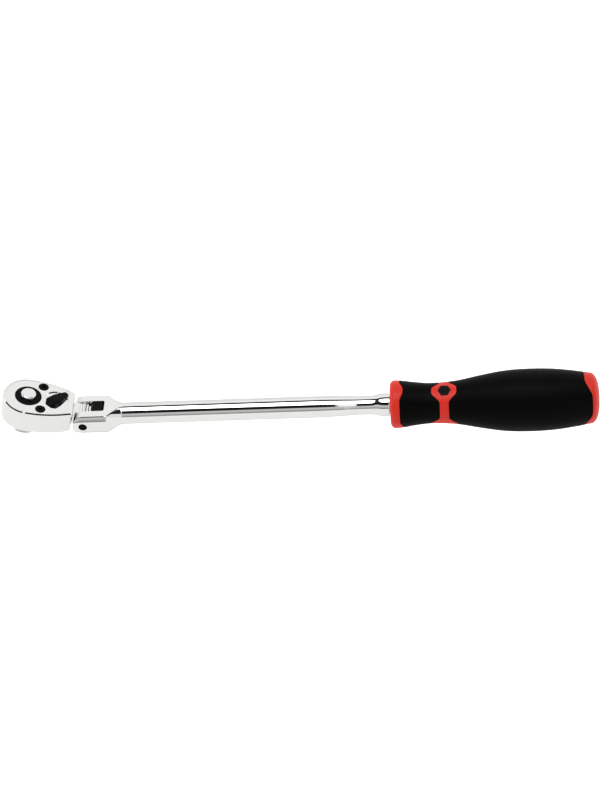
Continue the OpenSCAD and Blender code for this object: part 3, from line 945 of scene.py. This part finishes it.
# %% The handle's curve and its waves
HANDLE_X = 173.0
HANDLE_LEN = 117.0
DOME_LEN = 5.0
HANDLE = [(0, 12.7), (3.9, 13.5), (15, 12.1), (24, 11.4), (37.4, 12.3), (50.8, 14.8), (64.2, 16.95),
          (77.7, 17.6), (91, 17.2), (102, 15.95), (HANDLE_LEN - DOME_LEN, 14.3)]
LOBE_AT = 80.0
BAND_AT = 30.6
CAP_LOBE_AT = 115.0

def key_slope(i):
    """Slope of the handle's curve at a station."""
    a, b = HANDLE[max(i - 1, 0)], HANDLE[min(i + 1, len(HANDLE) - 1)]
    return (b[1] - a[1]) / (b[0] - a[0])

def handle_radius(x):
    """Radius of the handle, with its front edge and its end rounded over."""
    dome_x = HANDLE_LEN - DOME_LEN
    if x > dome_x:
        a = math.asin(min((x - dome_x) / DOME_LEN, 1))
        return HANDLE[-1][1] * max(math.cos(a), 0) ** 0.7
    i = max(k for k in range(len(HANDLE) - 1) if HANDLE[k][0] <= x)
    return smooth_step_between(HANDLE[i], HANDLE[i + 1], key_slope(i), key_slope(i + 1), x)

def from_lobe(e, lobe=LOBE_AT, apart=120):
    """Degrees to the nearest lobe, from an elevation in degrees."""
    return abs((e - lobe + apart / 2) % apart - apart / 2)

def eased(t):
    """A smooth step from 0 to 1."""
    t = min(max(t, 0), 1)
    return t * t * (3 - 2 * t)

def collar_edge(e):
    """Where the collar ends, further back at its lobes."""
    return 5.8 + 1.9 * (1 - eased((from_lobe(e) - 4) / 28))

def cap_edge(e):
    """Where the end cap starts, further forward at its lobes."""
    return 108.5 + 4.1 * eased((from_lobe(e, CAP_LOBE_AT, 180) - 25) / 48)

def band_half(e):
    """Half the band's width: a round lobe that runs into a narrow strap."""
    return 2.6 + 4.5 * (1 - eased((from_lobe(e) - 6) / 32))

print("handle radius at the palm:", round(handle_radius(77.7), 2))

# %% [markdown]
# Core and sleeves are wrapped grids: rows run round the handle, and each row follows its wave,
# so that the borders are crisp curves and not steps. The sleeves carry fine cross ribs where
# the fingers go, raised in the mesh itself.

# %% Wrap a grid round the handle
ROUND = 240
GRIP_DEPTH = 1.3
EDGE_R = 0.32

def wrapped(rows):
    """A closed grid whose rows are functions of elevation, giving (place, radius)."""
    rings = []
    for row in rows:
        ring = []
        for k in range(ROUND):
            e = 360 * k / ROUND
            x, r = row(e)
            a = math.radians(e)
            ring.append((HANDLE_X + x, -r * math.cos(a), r * math.sin(a)))
        rings.append(ring)
    return rings

def edge_drop(gap):
    """How far a rounded edge falls below the surface near a border."""
    if gap >= EDGE_R:
        return 0
    return EDGE_R - math.sqrt(max(EDGE_R ** 2 - (EDGE_R - gap) ** 2, 0))

def zone_rows(start, end, fine, ribs=None):
    """Rows from one border to the next, with rounded edges and a wall at both ends."""
    eases = [0, 0.02, 0.08, 0.16, 0.32]
    places = [("start", d) for d in eases] + [("part", i / fine) for i in range(fine + 1)]
    places += [("end", d) for d in eases[::-1]]
    rows = []
    for kind, value in places:
        def row(e, kind=kind, value=value):
            a, b = start(e) + EDGE_R, end(e) - EDGE_R
            if kind == "start":
                x, gap = start(e) + value, value
            elif kind == "end":
                x, gap = end(e) - value, value
            else:
                x, gap = a + (b - a) * value, EDGE_R
            lift = ribs(x, e) if ribs else 0
            return x, handle_radius(x) - edge_drop(gap) + lift
        rows.append(row)
    return rows

print("rows follow their borders all the way round")

# %% Where the ribs are
RIB_PITCH = 1.0
RIB_LIFT = 0.13
RIB_RUNS = [(9.5, 27.5), (36.5, 53), (92, 107.5)]

def rib_lift(x, e):
    """Height of the cross ribs, which fade out before the smooth thumb side."""
    turn = (e + 180) % 360 - 180
    smooth_side = eased((abs(turn - 52) - 58) / 12)
    along = max(eased((x - a) / 2) * eased((b - x) / 2) for a, b in RIB_RUNS)
    wave = 0.5 - 0.5 * math.cos(2 * math.pi * x / RIB_PITCH)
    return RIB_LIFT * smooth_side * along * (wave ** 1.5 - 0.5)

print("rib height under the handle:", round(rib_lift(20.5, -90), 3))

# %% Make the sleeves
def sleeve(name, start, end, fine):
    """A soft sleeve, closed inside by the bore it was moulded over."""
    outer = zone_rows(start, end, fine, rib_lift)

    def inner(border, inward):
        return lambda e: (border(e) + inward, handle_radius(border(e)) - GRIP_DEPTH)

    def bore(t):
        def row(e):
            x = start(e) + (end(e) - start(e)) * t
            return x, handle_radius(x) - GRIP_DEPTH
        return row

    middle = [bore(i / 24) for i in range(23, 0, -1)]
    rows = outer + [inner(end, 0)] + middle + [inner(start, 0)]
    return closed_round(name, wrapped(rows))

def closed_round(name, rings):
    """Joins rings in a loop, the last to the first, so the piece is a tube."""
    shape = bmesh.new()
    rows = [[shape.verts.new(point) for point in ring] for ring in rings]
    for near, far in zip(rows, rows[1:] + rows[:1]):
        for i in range(ROUND):
            n = (i + 1) % ROUND
            shape.faces.new((near[i], near[n], far[n], far[i]))
    return as_piece(name, shape)

def band_left(e):
    return BAND_AT - band_half(e)

def band_right(e):
    return BAND_AT + band_half(e)

front_sleeve = sleeve("front_sleeve", collar_edge, band_left, 120)
hand_over(front_sleeve, HINGE, "grip_front", "black_grip", sharp=50)
rear_sleeve = sleeve("rear_sleeve", band_right, cap_edge, 420)
hand_over(rear_sleeve, HINGE, "grip_rear", "black_grip", sharp=50)

# %% [markdown]
# The core is one red moulding. Its grid dips under each sleeve and rises again to the collar,
# the band and the cap. The collar's front edge is rolled over, with a shallow dish where the
# shaft goes in.

# %% Rows of the core
UNDER = 0.02
HAIR = 0.03

def sunk(border):
    """A row at a border, just below the sleeve's bore."""
    return lambda e: (border(e), handle_radius(border(e)) - GRIP_DEPTH - UNDER)

def sunk_run(start, end, count=16):
    """Rows that run under a sleeve from one border to the next."""
    def under(t):
        def row(e):
            x = start(e) + (end(e) - start(e)) * t
            return x, handle_radius(x) - GRIP_DEPTH - UNDER
        return row

    return [under(i / count) for i in range(1, count)]

def red_zone(start, end, fine):
    """Rows of red between two sleeves, a hair's width clear of both."""
    return zone_rows(lambda e: start(e) + HAIR, lambda e: end(e) - HAIR, fine)

print("rows under a sleeve:", len(sunk_run(collar_edge, cap_edge)))

# %% Make the core
NOSE_R = 3.0
FRONT = 0.4
nose_roll = [lambda e, a=a: (FRONT + (NOSE_R - FRONT) * (1 - math.sin(a)),
                             handle_radius(NOSE_R) - NOSE_R + NOSE_R * math.cos(a))
             for a in [math.radians(90 - 6 * i) for i in range(15)]]
dish = [lambda e: (1.8, 6.85), lambda e: (1.0, 7.4), lambda e: (0.55, 8.4)]
collar_rows = zone_rows(lambda e: NOSE_R - EDGE_R, lambda e: collar_edge(e) - HAIR, 10)[5:]
dome_x = HANDLE_LEN - DOME_LEN
cap_front = red_zone(cap_edge, lambda e: dome_x + 3.2, 12)[:-5]
dome_places = [dome_x + DOME_LEN * math.sin(math.radians(a)) for a in (48, 56, 63, 69, 74, 79, 83, 86, 88)]
dome_rows = [lambda e, x=x: (x, handle_radius(x)) for x in dome_places]
core_rows = (dish + nose_roll + collar_rows + [sunk(collar_edge)] + sunk_run(collar_edge, band_left)
             + [sunk(band_left)] + red_zone(band_left, band_right, 10) + [sunk(band_right)]
             + sunk_run(band_right, cap_edge, 48) + [sunk(cap_edge)] + cap_front + dome_rows)
core = solid("handle_shell", wrapped(core_rows))
cut(core, rod("tang_room", 5, HANDLE_X - 1, HANDLE_X + 90, axis="X", steps=64))

# %% Badge on the band
BADGE_R = 3.8
badge_z = handle_radius(BAND_AT)
badge_centre = (HANDLE_X + BAND_AT + 0.3, 0)
badge_tilt = Matrix.Rotation(math.radians(90 - LOBE_AT), 4, "X")
seat = slab("badge_seat", hexagon(BADGE_R, badge_centre), badge_z - 0.6, badge_z + 2)
seat.data.transform(badge_tilt)
cut(core, seat)
hand_over(core, HINGE, "handle_core", "red_plastic", sharp=50)
steps_in = [(BADGE_R - 0.05, -0.6), (BADGE_R - 0.05, 0.05), (BADGE_R - 0.3, 0.2),
            (BADGE_R - 0.8, 0.2), (BADGE_R - 1.0, 0.05), (0.3, 0.05)]
badge = solid("plain_badge", [[(x, y, badge_z + up) for x, y in hexagon(r, badge_centre)]
                              for r, up in steps_in])
soften(badge, 0.06, limit=30)
hand_over(badge, HINGE @ badge_tilt, "grip_emblem", "badge")

# %% [markdown]
# Two coil springs are squeezed in use: one behind the index block and one under the button. A
# stiff coil would stick into the part that presses it. Each coil is wound here, given its own
# mesh, and the share of its length left at the end of its joint's travel is printed.

# %% Wind a spring
def wound(name, coil_r, wire_r, start, end, turns, steps=28, around=10):
    """A coil along Z: a wire swept along a helix between two heights."""
    rise = (end - start - 2 * wire_r) / (turns * steps)
    rings = []
    for i in range(turns * steps + 1):
        a = 2 * math.pi * i / steps
        out = Vector((math.cos(a), math.sin(a), 0))
        centre = out * coil_r + Vector((0, 0, start + wire_r + rise * i))
        angles = [2 * math.pi * k / around for k in range(around)]
        rings.append([tuple(centre + out * wire_r * math.cos(b) + Vector((0, 0, wire_r * math.sin(b))))
                      for b in angles])
    return solid(name, rings)

def squeezed(piece, place, node, joint, end, start):
    """Hands a spring over and prints the share of its length left at full travel."""
    hand_over(piece, place, node, "spring_steel", sharp=60, flat_faces=False)
    travel = max(abs(limit) for limit in joints[joint]["range_m"])
    keep = 1 - travel / (abs(end - start) * MM)
    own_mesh(piece)
    print(piece.name, "keeps", round(keep, 3), "of its length")

# %% The two springs
LOCK_BORE_END = 28
BUTTON_SPRING = (-1.5, 3.8)
ALONG_X = Matrix.Rotation(math.radians(90), 4, "Y")
squeezed(wound("lock_coil", 1.7, 0.32, TAIL_END, LOCK_BORE_END, 5), HINGE @ ALONG_X,
         "flex_lock_spring", "flex_lock_slide", LOCK_BORE_END, TAIL_END)
squeezed(wound("button_coil", 3.6, 0.4, *BUTTON_SPRING, 4), HEAD,
         "button_spring", "button_press", *BUTTON_SPRING)

# %% [markdown]
# The parts inside the head keep the shapes of the mechanical model, which are right as they
# are, and take the finishes of their slots.

# %% Finish the hidden parts
KEPT = {"drive_gear": "steel", "drive_seal": "seal_rubber", "selector_seal": "seal_rubber",
        "detent_ball": "steel", "pawl": "steel", "selector_spring": "spring_steel",
        "selector_plunger": "steel"}
for node, finish in KEPT.items():
    for slot in frame["nodes"][node].material_slots:
        slot.material = finishes[finish]
    print(node, "takes", finish)

# %% Print the two boxes
low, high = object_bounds()
boxes = {"cad": [list(cad_low), list(cad_high)], "visual": [list(low), list(high)]}
for name, box in boxes.items():
    print(name, "box in mm:", [[round(v / MM, 2) for v in corner] for corner in box])
